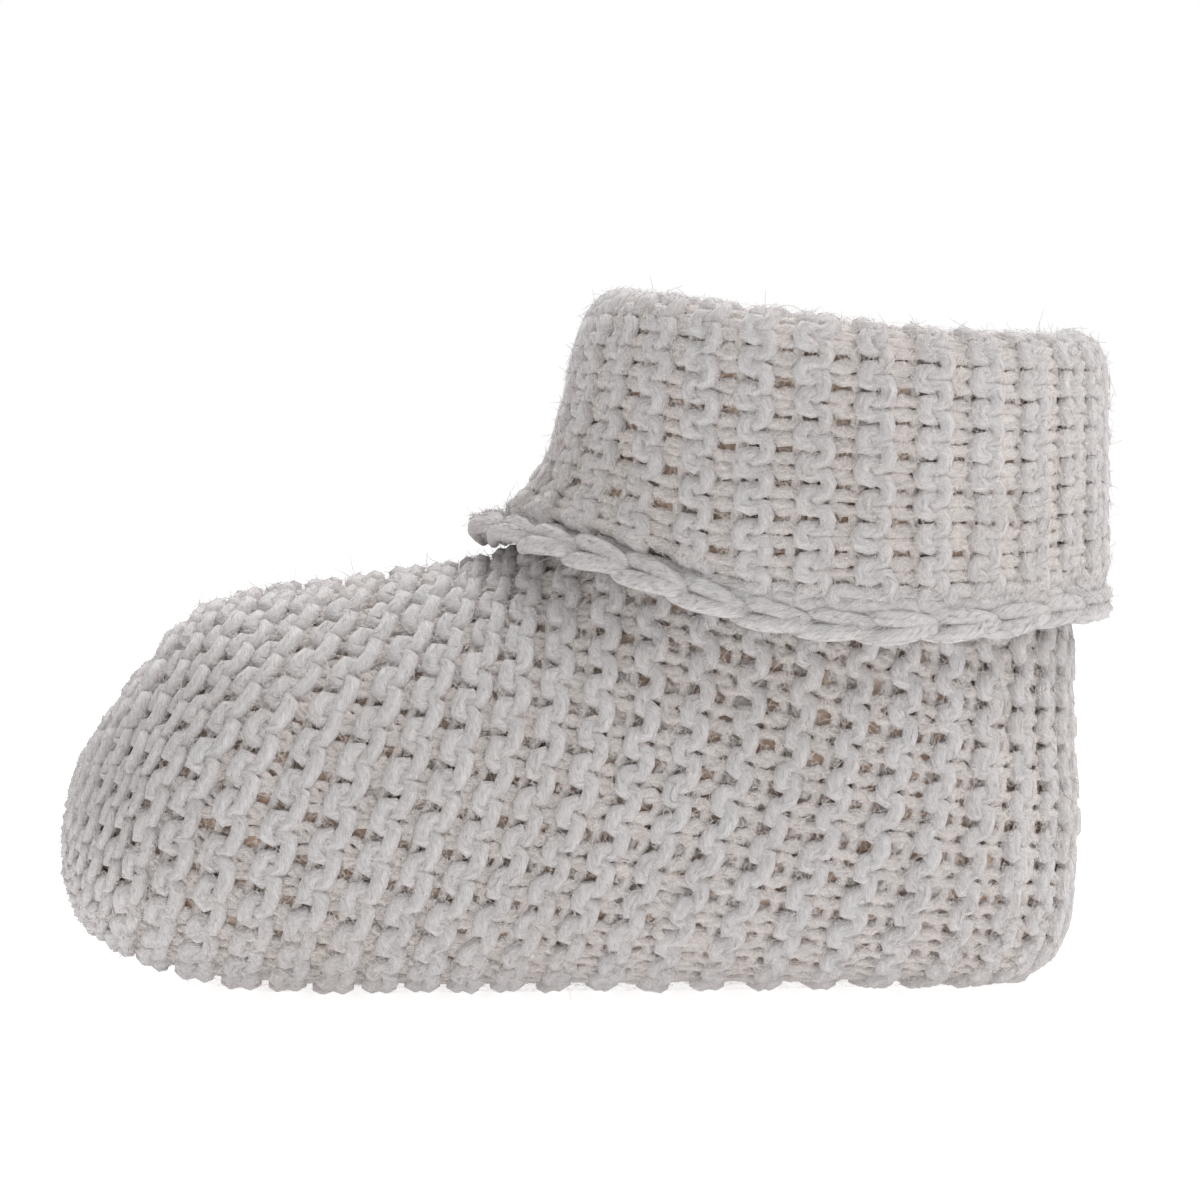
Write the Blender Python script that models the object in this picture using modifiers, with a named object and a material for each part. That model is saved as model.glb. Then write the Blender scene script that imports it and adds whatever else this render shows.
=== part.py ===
"""Knitted baby bootie: hollow garter-stitch foot, turned-down cuff and chain-stitch edge.

Metres, +Z up. The origin is under the middle of the bootie, on the floor. The toe points to -X, and
the bootie is the same on both sides of the XZ plane, so it fits either foot.
"""

import math
from collections import namedtuple

import bpy
import numpy as np

MM = 0.001

# Driving dimensions.
FOOT_LENGTH = 100 * MM      # toe tip to heel
BALL_WIDTH = 47 * MM        # across the widest place of the foot
RIM_HEIGHT = 64.6 * MM      # of the ankle's front, under the cuff's fold
WALL = 3.4 * MM             # the knitted fabric's thickness
GAP = 0.3 * MM              # between pieces that lie against each other
FLOOR = 0.0                 # the plane that heel and forefoot stand on
SOLE_PRESS = 0.65 * MM      # how far the round of the sole is pressed flat on that plane
PRESS_REACH = 8 * MM        # how high up the sides the pressing is felt
AROUND = 36                 # points round each section
BETWEEN = 2                 # sections from one row of the table to the next
FOLD_STEPS = 7              # rings over the cuff's fold
CUFF_STEPS = 9              # rings from the cuff's fold to its hem
LINKS = 28                  # chain stitches round the edge
LINK_STEPS = 5              # rings of the edge for each chain stitch
CHAIN_AROUND = 10           # points round the edge's cord
CHAIN_RADIUS = 1.45 * MM    # the edge's cord, without its raised strands
CHAIN_RELIEF = 0.22 * MM    # how far the strands stand out of it
STRAND_SLANT = 0.55         # how far a strand runs back along the chain while it crosses it, in links

# The last, as sections from the toe to the rim of the ankle. Each lies in a plane that holds the Y
# direction, from the point upper_x, upper_z on the instep or the shaft's front to lower_x, lower_z
# on the sole or the heel. The x are in hundredths of the foot's length, from the bootie's middle,
# the z in hundredths of the rim's height, and half_width in hundredths of the ball's width. The
# widest place is at widest of the way up. The halves of a section are superellipses: corner is the
# exponent of the lower half and crown of the upper half.
Row = namedtuple("Row", "upper_x upper_z lower_x lower_z half_width widest corner crown")
LAST = (
    Row(-51.45, 20.1, -51.45, 20.1, 0.0, 0.48, 2.1, 2.1),     # toe tip
    Row(-50.9, 28.2, -50.7, 12.1, 17.9, 0.48, 2.2, 2.1),
    Row(-48.9, 36.8, -48.2, 7.1, 29.8, 0.46, 2.3, 2.1),
    Row(-45.6, 44.3, -43.8, 4.0, 38.7, 0.44, 2.5, 2.1),
    Row(-41.8, 52.3, -38.6, 1.7, 44.3, 0.42, 2.8, 2.1),
    Row(-36.9, 58.7, -32.5, 0.2, 47.7, 0.40, 3.1, 2.1),       # toe box
    Row(-30.2, 60.7, -26.0, 0.0, 49.4, 0.40, 3.3, 2.1),
    Row(-22.8, 62.2, -18.5, 0.0, 50.0, 0.40, 3.3, 2.1),       # ball
    Row(-15.6, 63.8, -10.5, 0.0, 49.6, 0.40, 3.3, 2.1),
    Row(-9.6, 65.3, -1.5, 0.0, 48.7, 0.41, 3.2, 2.1),         # instep
    Row(-5.2, 68.4, 8.5, 0.0, 47.7, 0.42, 3.2, 2.1),
    Row(-2.1, 73.1, 19.0, 0.0, 46.8, 0.44, 3.1, 2.1),
    Row(-0.4, 78.6, 29.5, 0.0, 46.2, 0.46, 2.9, 2.1),
    Row(0.5, 83.7, 38.8, 0.0, 45.5, 0.48, 2.7, 2.1),
    Row(1.1, 87.9, 46.2, 4.2, 45.1, 0.50, 2.4, 2.1),          # heel corner
    Row(1.5, 91.3, 48.4, 17.8, 44.7, 0.50, 2.2, 2.1),
    Row(1.9, 94.1, 48.2, 36.4, 44.5, 0.50, 2.1, 2.1),
    Row(2.3, 96.4, 47.8, 55.0, 44.3, 0.50, 2.1, 2.1),         # ankle
    Row(2.9, 98.5, 47.7, 73.5, 44.3, 0.50, 2.1, 2.1),
    Row(3.5, 100.0, 47.6, 93.5, 44.3, 0.50, 2.1, 2.1),        # rim, under the cuff's fold
)
RIM = len(LAST) - 1
HEM = (17.35, 16.95, 15.4, 11.9, 9.45)  # where the hem crosses the table, from back to front
HEM_FLARE = 0.5 * MM        # how far the hem stands off the instep
RIM_DIP = 0.16              # how far the rim dips below the table's last row, halfway round

# Colours: pale oatmeal wool, rgb.
WOOL = (0.60, 0.56, 0.54)
WOOL_CUFF = (0.64, 0.61, 0.59)
WOOL_EDGE = (0.68, 0.64, 0.62)


def smooth(values, place):
    """The value at a fractional place in a list, on a smooth curve through its values."""
    last = len(values) - 1
    first = min(max(int(math.floor(place)), 0), last - 1)
    step = place - first
    p0 = values[max(first - 1, 0)]
    p1 = values[first]
    p2 = values[first + 1]
    p3 = values[min(first + 2, last)]
    straight = (p2 - p0) * step
    bend = (2 * p0 - 5 * p1 + 4 * p2 - p3) * step ** 2
    twist = (3 * p1 - p0 - 3 * p2 + p3) * step ** 3
    return p1 + (straight + bend + twist) / 2


def last_row(place):
    """The section of the last at a fractional place in the table."""
    return Row(*smooth(np.array(LAST), place))


def on_last(place, turn):
    """A point of the foot's outer surface, where turn goes from 0 on the sole or heel, by the +Y
    side, to half a circle on the instep."""
    row = last_row(place)
    exponent = row.corner if math.cos(turn) > 0 else row.crown
    along = math.copysign(abs(math.cos(turn)) ** (2 / exponent), math.cos(turn))
    across = math.copysign(abs(math.sin(turn)) ** (2 / exponent), math.sin(turn))
    reach = row.widest if along > 0 else 1 - row.widest
    rise = row.widest - reach * along
    x = row.lower_x + (row.upper_x - row.lower_x) * rise
    z = row.lower_z + (row.upper_z - row.lower_z) * rise
    height = z * RIM_HEIGHT / 100
    height -= SOLE_PRESS * max(1 - height / PRESS_REACH, 0.0)
    return np.array((x * FOOT_LENGTH / 100, row.half_width * across * BALL_WIDTH / 100,
                     max(height, FLOOR)))


def frame_on_last(place, turn):
    """The surface's outward direction at a point of the last, and the direction up the shaft."""
    small = 0.02
    upper = min(place + small, RIM)
    up = on_last(upper, turn) - on_last(upper - 2 * small, turn)
    round_it = on_last(place, turn + small) - on_last(place, turn - small)
    outward = np.cross(round_it, up)
    outward /= np.linalg.norm(outward)
    up -= outward * up.dot(outward)
    return outward, up / np.linalg.norm(up)


def off_last(place, turn, out, raised=0.0):
    """A point that stands off the last's surface, and is raised along the shaft from there."""
    outward, up = frame_on_last(place, turn)
    return on_last(place, turn) + outward * out + up * raised


def turns():
    """The places round a section."""
    return [2 * math.pi * step / AROUND for step in range(AROUND)]


def rim_place(turn):
    """Where the rim crosses the table of sections, round the ankle."""
    return RIM - RIM_DIP * math.sin(turn) ** 2


def hem_place(turn):
    """Where the cuff's hem crosses the table of sections, round the ankle."""
    half_turn = math.acos(math.cos(turn))
    return smooth(HEM, half_turn / math.pi * (len(HEM) - 1))


def flare(turn):
    """How far the hem stands off the last besides the gap: only in front, over the instep."""
    return HEM_FLARE * max(-math.cos(turn), 0.0) ** 2


def skin(rings, closed):
    """Faces between rings of equal length; closed joins the last ring to the first."""
    size = len(rings[0])
    faces = []
    for ring in range(len(rings) - (0 if closed else 1)):
        here = ring * size
        there = (ring + 1) % len(rings) * size
        for step in range(size):
            after = (step + 1) % size
            faces.append((here + step, here + after, there + after, there + step))
    return faces


def material(name, colour):
    """A matt knitted fabric."""
    made = bpy.data.materials.new(name)
    made.use_nodes = True
    shader = made.node_tree.nodes["Principled BSDF"]
    shader.inputs["Base Color"].default_value = (*colour, 1.0)
    shader.inputs["Roughness"].default_value = 0.95
    shader.inputs["Metallic"].default_value = 0.0
    return made


def add_object(name, points, faces, colour, collection):
    """An object of its own with its own material, shaded smooth."""
    mesh = bpy.data.meshes.new(name)
    mesh.from_pydata([tuple(point) for point in points], [], faces)
    mesh.materials.append(material(name + "_wool", colour))
    mesh.shade_smooth()
    piece = bpy.data.objects.new(name, mesh)
    collection.objects.link(piece)
    return piece


def make_foot(collection):
    """Sole, sides, instep and shaft: one knitted wall on the last, open at the ankle."""
    steps = RIM * BETWEEN
    rings = []
    for step in range(1, steps + 1):
        rings.append([on_last(step / steps * rim_place(turn), turn) for turn in turns()])
    points = [point for ring in rings for point in ring]
    faces = skin(rings, closed=False)
    tip = len(points)
    points.append(on_last(0, 0))
    for step in range(AROUND):
        faces.append((tip, (step + 1) % AROUND, step))
    foot = add_object("knitted_foot", points, faces, WOOL, collection)
    wall = foot.modifiers.new("wall", "SOLIDIFY")
    wall.thickness = WALL
    wall.offset = -1.0
    wall.use_even_offset = True
    return foot


def make_cuff(collection):
    """The shaft's end turned down over itself: a fold over the rim and a skirt down to the hem."""
    outer = GAP + WALL
    centre = GAP / 2
    radius = WALL + GAP / 2
    rings = []
    for step in range(CUFF_STEPS):
        down = 1 - step / CUFF_STEPS
        ring = []
        for turn in turns():
            place = rim_place(turn) + (hem_place(turn) - rim_place(turn)) * down
            ring.append(off_last(place, turn, outer + flare(turn) * down ** 2))
        rings.append(ring)
    for step in range(FOLD_STEPS):
        angle = math.pi * step / (FOLD_STEPS - 1)
        out = centre + radius * math.cos(angle)
        raised = max(radius * math.sin(angle), GAP if step else 0.0)
        rings.append([off_last(rim_place(turn), turn, out, raised) for turn in turns()])
    rings.append([off_last(rim_place(turn), turn, GAP, GAP) for turn in turns()])
    for step in range(CUFF_STEPS + 1):
        down = step / CUFF_STEPS
        ring = []
        for turn in turns():
            place = rim_place(turn) + (hem_place(turn) - rim_place(turn)) * down
            ring.append(off_last(place, turn, GAP + flare(turn) * down ** 2))
        rings.append(ring)
    points = [point for ring in rings for point in ring]
    return add_object("turned_cuff", points, skin(rings, closed=True), WOOL_CUFF, collection)


def hem_point(turn):
    """A point of the cuff's hem, on its inner side."""
    return off_last(hem_place(turn), turn, GAP + flare(turn))


def chain_frame(turn):
    """The middle of the edge's cord, just under the hem, with the directions ahead and outward."""
    outward, up = frame_on_last(hem_place(turn), turn)
    ahead = hem_point(turn + 0.01) - hem_point(turn - 0.01)
    ahead -= outward * ahead.dot(outward)
    ahead /= np.linalg.norm(ahead)
    below = np.cross(ahead, outward)
    below *= -math.copysign(1, below.dot(up))
    reach = CHAIN_RADIUS + CHAIN_RELIEF
    return hem_point(turn) + outward * reach + below * (GAP + reach), ahead, outward


def make_chain(collection):
    """The chain-stitch edge: a cord round the hem with a V of raised strands for each link."""
    rings = []
    count = LINKS * LINK_STEPS
    for step in range(count):
        turn = 2 * math.pi * step / count
        middle, ahead, out = chain_frame(turn)
        side = np.cross(ahead, out)
        ring = []
        for point in range(CHAIN_AROUND):
            angle = 2 * math.pi * (point + 0.5) / CHAIN_AROUND
            apart = abs(math.sin(angle / 2))
            wave = math.cos(2 * math.pi * (step / LINK_STEPS + STRAND_SLANT * 2 * apart))
            radius = CHAIN_RADIUS + CHAIN_RELIEF * wave
            ring.append(middle + radius * (math.cos(angle) * out + math.sin(angle) * side))
        rings.append(ring)
    points = [point for ring in rings for point in ring]
    return add_object("chain_edge", points, skin(rings, closed=True), WOOL_EDGE, collection)


def main():
    for old in list(bpy.data.objects):
        bpy.data.objects.remove(old)
    bootie = bpy.data.collections.new("knitted_baby_bootie")
    bpy.context.scene.collection.children.link(bootie)
    make_foot(bootie)
    make_cuff(bootie)
    make_chain(bootie)


main()
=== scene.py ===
"""The looks of the knitted baby bootie: every stitch of its garter fabric in wool yarn.

Metres, +Z up, the toe towards -X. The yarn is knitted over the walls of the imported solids.
"""

import math
from collections import namedtuple

import bmesh
import bpy
import numpy as np
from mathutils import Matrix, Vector
from mathutils.bvhtree import BVHTree


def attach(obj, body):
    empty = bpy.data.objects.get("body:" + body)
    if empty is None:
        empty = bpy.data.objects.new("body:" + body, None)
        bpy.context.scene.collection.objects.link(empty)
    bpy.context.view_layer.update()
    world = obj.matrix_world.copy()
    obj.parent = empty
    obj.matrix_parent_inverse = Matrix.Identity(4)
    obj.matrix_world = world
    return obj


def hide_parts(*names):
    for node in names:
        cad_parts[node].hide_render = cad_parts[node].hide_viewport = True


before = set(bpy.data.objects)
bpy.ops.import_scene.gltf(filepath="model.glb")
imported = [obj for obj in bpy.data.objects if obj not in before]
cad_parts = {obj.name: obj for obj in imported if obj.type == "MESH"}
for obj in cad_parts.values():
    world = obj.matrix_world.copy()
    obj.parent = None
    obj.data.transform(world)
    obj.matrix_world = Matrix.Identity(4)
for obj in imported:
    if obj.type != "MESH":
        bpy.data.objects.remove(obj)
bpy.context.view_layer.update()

MM = 0.001
REACH = 0.12                # longer than the bootie
TINY = 1e-12                # keeps a division by a length from failing
WELD = 0.01 * MM            # points of a solid that lie closer are one
CLEAR = 0.1 * MM            # a search outwards starts this far off the wall

# The yarn and the fabric.
YARN = 0.88 * MM            # the yarn's radius
CUFF_LEG = 0.70             # how thick the yarn is where a loop's legs are squeezed, in radii
TOE_LEG = 0.58
HEEL_LEG = 0.66
STEPS = 12                  # points of the yarn along one stitch
SIDES = 6                   # points round the yarn
CUFF_OVERLAP = 1.2 * MM     # how far a loop's end reaches past the middle of its ridge
TOE_OVERLAP = 1.10 * MM
HEEL_OVERLAP = 0.72 * MM
LEAST_OVERLAP = 0.2         # the least and the most of it, in rows
MOST_OVERLAP = 0.47
LOOP_WIDTH = 0.18           # how much wider a loop's ends are than its legs stand, in stitches
TOE_LOOP_WIDTH = 0.25
CUFF_LEGS = 0.05            # how far a loop's legs stand out from even places, in stitches
TOE_LEGS = 0.09
HEEL_LEGS = 0.06
TOE_TILT = 0.10             # how far a loop's ends lean along the row, in rows
HEEL_TILT = 0.02
BLUNT = 0.28                # how blunt the ends of the loops are
RELIEF = 0.58 * MM          # how far a loop's front end stands before its legs
SINK = 0.25 * MM            # how far a loop's back end lies behind its legs
FRONT = 0.90 * MM           # how deep the middle of the yarn lies where it comes forward
BULGE_FROM = -0.02          # from this share of a loop's swing on the yarn comes forward
BULGE_OVER = 0.80           # over this share
SLIM_BELOW = 1.8 * MM       # the yarn is slimmer where the rows are closer than this
SLIMMEST = 0.6
CORE_DEPTH = 2.0 * MM       # how deep under the surface the fabric is closed behind the loops, by a sheet of painted shade
UNEVEN = 0.045              # how uneven the stitches are, in stitches
END_UNEVEN = 1.3 * UNEVEN
DEPTH_UNEVEN = 0.09 * MM
YARN_UNEVEN = 0.05
TUCK = 1.6 * MM             # how far a row's loose end is tucked in
TUCK_RUN = 0.4              # over this much of a stitch
HELD_RUN = 0.7              # the stitches that the hem holds in front
INSIDE = {"proud": 0.5 * MM, "steps": 8, "sides": 5}    # for the rows inside
EDGE = 0.3                  # they end this far from the edges of their grid, in stitches
DOWN = (0.25 * MM, 0.75 * MM)   # how deep the layers of down lie under the surface
TWIST = 0.115               # turns of the yarn's twist in a millimetre
STRANDS = 3
YARN_SHIFT = 7.3            # millimetres from one yarn's pattern to the next one's
FIBRE = 0.032 * MM          # the radius of a loose fibre
TOE_FIBRES = 6600
INSTEP_FIBRES = 7000
HEEL_FIBRES = 7000
CUFF_FIBRES = 11000
EDGE_FIBRES = 3200
STRAY = 0.32                # the share of the fibres that stand out of the yarn
BARE_BELOW = 3 * MM         # no fibre starts below this
LOWEST_FIBRE = 0.05 * MM

# The first of the numbers that the unevenness of each set of yarns is drawn from.
NEAR_SEED = 11
FUZZ_SEED = 21
FAR_SEED = 411
CUFF_SEED = 811
SHAFT_SEED = 911
INSOLE_SEED = 1311
CHAIN_SEED = 1511
INSIDE_SEED = 1711


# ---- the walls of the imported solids

def tree_of(node):
    """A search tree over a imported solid's faces."""
    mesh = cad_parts[node].data
    points = [vertex.co.copy() for vertex in mesh.vertices]
    faces = [tuple(polygon.vertices) for polygon in mesh.polygons]
    return BVHTree.FromPolygons(points, faces)


def outer_wall(tree, centre, way, reach=REACH):
    """The outermost point of a solid from a centre along a direction, or None."""
    start = Vector(centre) + Vector(way) * reach
    hit = tree.ray_cast(start, -Vector(way), reach)
    return None if hit[0] is None else np.array(hit[0])


def inner_wall(tree, centre, way):
    """The first point of a solid from a centre along a direction, or None."""
    hit = tree.ray_cast(Vector(centre), Vector(way), REACH)
    return None if hit[0] is None else np.array(hit[0])


def found(points):
    """The points of a row of searches, without those that found none."""
    return [point for point in points if point is not None]


def unit(vector):
    return vector / np.linalg.norm(vector)


def units(vectors):
    return vectors / (np.linalg.norm(vectors, axis=-1, keepdims=True) + TINY)


def eased(share):
    """A share from 0 to 1 that starts and ends gently."""
    share = np.clip(share, 0, 1)
    return share * share * (3 - 2 * share)


def along(points):
    """The distance from the first point to each point of a line."""
    steps = np.linalg.norm(np.diff(points, axis=0), axis=1)
    return np.concatenate(([0.0], np.cumsum(steps)))


def at_lengths(points, lengths, wanted):
    """Points of a line at the wanted distances along it."""
    return np.stack([np.interp(wanted, lengths, points[:, axis]) for axis in range(3)], axis=1)


def soften(grid):
    """A grid of points, each moved a little to the middle of its neighbours."""
    soft = grid.copy()
    soft[1:-1] = (grid[:-2] + 2 * grid[1:-1] + grid[2:]) / 4
    again = soft.copy()
    again[:, 1:-1] = (soft[:, :-2] + 2 * soft[:, 1:-1] + soft[:, 2:]) / 4
    return again


def soften_ring(ring, times):
    """A closed line of points, each moved as often to the middle of its neighbours."""
    for _ in range(times):
        ring = (np.roll(ring, 1, axis=0) + 2 * ring + np.roll(ring, -1, axis=0)) / 4
    return ring


class Cloth:
    """A grid of places and outward directions over a wall: rows of knitting by stitches."""

    def __init__(self, first_row, row_step, first_stitch, places):
        self.first_row = first_row
        self.row_step = row_step
        self.first_stitch = first_stitch
        self.places = soften(soften(places))
        across = np.gradient(self.places, axis=0)
        self.outward = units(np.cross(across, np.gradient(self.places, axis=1)))
        self.spacing = np.linalg.norm(across, axis=2) / row_step

    def look_up(self, grid, row, stitch):
        """The grid's values between its rows and stitches."""
        u = np.clip((row - self.first_row) / self.row_step, 0, grid.shape[0] - 1.001)
        v = np.clip((stitch - self.first_stitch) / STITCH_STEP, 0, grid.shape[1] - 1.001)
        i, j = u.astype(int), v.astype(int)
        fu, fv = u - i, v - j
        if grid.ndim == 3:
            fu, fv = fu[:, None], fv[:, None]
        lower = grid[i, j] * (1 - fv) + grid[i, j + 1] * fv
        upper = grid[i + 1, j] * (1 - fv) + grid[i + 1, j + 1] * fv
        return lower * (1 - fu) + upper * fu


# ---- the foot's rows of knitting

# The garter ridges of the foot, counted from the toe's gather to the heel, in millimetres from the
# bootie's middle and the floor. A ridge starts under the sole at low_x, low_z, passes the side at
# x, z, and ends at top_x, top_z on the instep or up the shaft. turned is the way it faces at the
# side, 90 straight out and 180 to the heel, and pitch is the length of a stitch.
Ridge = namedtuple("Ridge", "number x z low_x low_z top_x top_z turned pitch")
RIDGES = [Ridge(*numbers) for numbers in (
    (-1, -51.1, 16, -51.5, 12.2, -50.1, 21, 90, 3.3),
    (0, -50.5, 17.6, -51.5, 11.4, -47.7, 25.8, 90, 3.5),
    (1, -49.3, 19.2, -51.4, 10.4, -45, 30.1, 90, 3.7),
    (2, -47.6, 20.6, -51.1, 9, -42, 33.8, 90, 3.9),
    (3, -45.5, 21.8, -50.6, 7, -38.7, 36.7, 90, 4.1),
    (4, -43, 22.6, -49.6, 4.6, -35.2, 38.2, 90, 4.2),
    (5, -41.3, 23.2, -47.8, 2.2, -31.7, 38.7, 90, 4.3),
    (6, -38.2, 23.6, -44.8, 0.4, -28, 39, 90, 4.25),
    (7, -34.1, 24, -41, 0, -24.2, 39.4, 90, 4.3),
    (8, -29.1, 24, -35.8, 0, -19.6, 39.9, 90, 4.3),
    (9, -23.8, 24, -31.2, 0, -15.9, 40.7, 90, 4.3),
    (10, -18.7, 24, -26.5, 0, -12.4, 41.7, 90, 4.3),
    (11, -14.2, 24, -22, 0, -9.2, 43, 90, 4.25),
    (12, -10, 24, -17.9, 0, -6, 45, 90, 4.2),
    (13, -5.9, 24, -13.8, 0, -2.6, 60, 90, 4.1),
    (15, 2.6, 24, -5.6, 0, 5.9, 60, 90, 4),
    (17, 12.3, 24, 3.8, 0, 15.7, 60, 90, 3.9),
    (19, 22.6, 24, 14.4, 0, 26.6, 60, 90, 3.85),
    (20, 27.6, 24, 20, 0, 31, 60, 90, 3.8),
    (21, 30.4, 24, 24.6, 0, 33.2, 60, 95, 3.8),
    (22, 33, 24, 28.8, 0, 35.2, 60, 101, 3.8),
    (23, 35.4, 24, 32.6, 0, 37, 60, 108, 3.8),
    (24, 37.3, 24, 35.6, 0, 38.3, 60, 117, 3.8),
    (25, 38.8, 24, 37.8, 0, 39.3, 60, 130, 3.8),
    (26, 39.7, 24, 39.2, 0, 39.9, 60, 150, 3.8),
    (27, 40.1, 24, 39.9, 0, 40.1, 60, 180, 3.8),
)]
ROW_STEP = 0.5              # two rows of knitting make a ridge
STITCH_STEP = 0.25          # four places of a grid make a stitch
FIRST_ROW = -0.75
LAST_ROW = 26.75
TOE_ROWS = 7.5              # the rows before this one are the toe's piece
INSTEP_ROWS = 16.5          # and from there those before this one the instep's
LAST_HOOP = 13.0            # ridges up to this one close over the instep
UNDER_CUFF = 4 * MM         # how far the foot's other rows reach up under the cuff's edge
CROWDED = 2.2 * MM          # where ridges would lie closer than this, a row ends
SEAM = 0.7 * MM             # the rows stop this far from the seam under the sole
SEWN_EVERY = 2.2 * MM       # how far apart the seam's stitches are, and how wide, halved
SEWN_WIDTH = 2.1 * MM
SEWN_SLANT = 0.17           # how far they slant, in ridges, halved
FIRST_STITCH = 76.0
LAST_STITCH = 128.0
SIDE_STITCH = 100.0         # the number of the stitch halfway up the middle of the side
MIDDLE_ROW = 12.25
SETTLING = 6                # the stitches that take up what is left before the instep's middle
LEAN_FROM = 0.8             # from this angle up from the sole, a ridge's lean changes
LEAN_OVER = 1.54            # over this angle
TOE_CENTRE = np.array((-38 * MM, 0.0, 16.6 * MM))
TOE_STRANDS = 9             # yarns drawn into the middle of the toe, on each side


def ridge_at(number):
    """The ridge at a fractional number, between the rows of the table."""
    numbers = [ridge.number for ridge in RIDGES]
    return Ridge(*[np.interp(number, numbers, column) for column in zip(*RIDGES)])


def foot_line(tree, number, samples=240):
    """The line of a ridge on the foot's outer wall, from under the sole up the near side, with the
    index of its point at the side."""
    ridge = ridge_at(number)
    centre = np.array((ridge.x, 0.0, ridge.z)) * MM
    turned = math.radians(ridge.turned)
    side = np.array((-math.cos(turned), -math.sin(turned), 0.0))
    low_lean = math.atan2(ridge.x - ridge.low_x, ridge.z - ridge.low_z)
    top_lean = math.atan2(ridge.top_x - ridge.x, ridge.top_z - ridge.z)
    points = []
    for step in range(samples + 1):
        angle = math.pi * step / samples
        lean = low_lean + (top_lean - low_lean) * eased((angle - LEAN_FROM) / LEAN_OVER)
        upright = np.array((math.sin(lean), 0.0, math.cos(lean)))
        point = outer_wall(tree, centre, unit(side * math.sin(angle) - upright * math.cos(angle)))
        if point is None:
            break
        points.append(point)
    return np.array(points), samples // 2


def side_stitches(rows, lines, pitches):
    """The number of the stitch at each row's side, such that the stitches of neighbouring rows
    with the same number lie side by side."""
    numbers = [0.0]
    for (before, _), (line, middle), pitch in zip(lines, lines[1:], pitches[1:]):
        run = unit(line[middle + 3] - line[middle - 3])
        numbers.append(numbers[-1] + (line[middle] - before[middle]).dot(run) / pitch)
    return np.array(numbers) + (SIDE_STITCH - np.interp(MIDDLE_ROW, rows, numbers))


def foot_cloth(tree):
    """The foot's near half as a grid of rows and stitches, each row's first and last stitch, and
    where the seam under the sole crosses it."""
    hem, _, _ = chain_line(tree)
    rows = np.arange(FIRST_ROW, LAST_ROW + 0.1, ROW_STEP)
    stitches = np.arange(FIRST_STITCH, LAST_STITCH, STITCH_STEP)
    lines = [foot_line(tree, row) for row in rows]
    pitches = [ridge_at(row).pitch * MM for row in rows]
    numbers = side_stitches(rows, lines, pitches)
    grid = np.zeros((len(rows), len(stitches), 3))
    ends, seam = [], []
    for index, (line, middle) in enumerate(lines):
        lengths = along(line)
        total = lengths[-1]
        at_side = lengths[middle]
        number = numbers[index]
        pitch = pitches[index]
        places = at_side + (stitches - number) * pitch
        closes = rows[index] < LAST_HOOP
        top = number + (total - at_side) / pitch
        if closes:
            settle = top - SETTLING
            even_top = round(2 * top) / 2
            start = at_side + (settle - number) * pitch
            upper = stitches > settle
            places[upper] = start + ((stitches[upper] - settle) * (total - start)
                                     / (even_top - settle))
            top = even_top
        folded = np.abs(places)
        beyond = folded > total
        if closes:
            folded = np.where(beyond, 2 * total - folded, folded)
        spots = at_lengths(line, lengths, folded)
        if closes:
            spots[beyond | (places < 0), 1] *= -1
        else:
            spots[beyond] = line[-1] + unit(line[-1] - line[-9]) * (folded - total)[beyond, None]
            spots[places < 0, 1] *= -1
            edge = hem[np.abs(hem[:, None, 0] - spots[None, :, 0]).argmin(axis=0), 2]
            reachable = (places > 0) & (spots[:, 2] < edge + UNDER_CUFF)
            top = stitches[reachable].max()
        grid[index] = spots
        ends.append((np.interp(SEAM, places, stitches), top))
        seam.append(np.interp((-SEWN_WIDTH, 0.0, SEWN_WIDTH), places, stitches))
    far_side = grid[[-1, -2]] * (1, -1, 1)
    cloth = Cloth(rows[0], ROW_STEP, stitches[0], np.concatenate((grid, far_side)))
    for index, (first, last) in enumerate(ends):
        crowded = (cloth.spacing[index] < CROWDED) & (stitches > first)
        below = stitches[crowded & (stitches < SIDE_STITCH - 1)]
        above = stitches[crowded & (stitches > SIDE_STITCH + 1)]
        ends[index] = (max([first, *(below + STITCH_STEP)]), min([last, *(above - STITCH_STEP)]))
    return cloth, rows, ends, np.array(seam)


def sole_seam(cloth, rows, seam):
    """Slanting stitches that sew the foot's edges together under the sole."""
    lengths = along(cloth.look_up(cloth.places, rows, seam[:, 1]))
    starts = np.interp(np.arange(SEWN_EVERY / 2, lengths[-1], SEWN_EVERY), lengths, rows)
    run = np.linspace(-1, 1, 11)
    sewn = []
    for number in starts:
        row = number + SEWN_SLANT * run
        sides = np.stack([np.interp(row, rows, column) for column in seam.T], axis=1)
        stitch = np.array([np.interp(share, (-1, 0, 1), side) for share, side in zip(run, sides)])
        outward = units(cloth.look_up(cloth.outward, row, stitch))
        depth = MM * np.interp(np.abs(run), (0, 0.55, 1.0), (-0.75, -0.95, -2.4))
        path = cloth.look_up(cloth.places, row, stitch) + outward * depth[:, None]
        thick = np.interp(np.abs(run), (0, 0.7, 1.0), (0.95, 0.9, 0.6))
        sewn.append((tube(path, outward, YARN * thick, SIDES),
                     np.interp(np.abs(run), (0, 0.6, 1.0), (1.0, 0.8, 0.2))))
    return sewn


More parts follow.
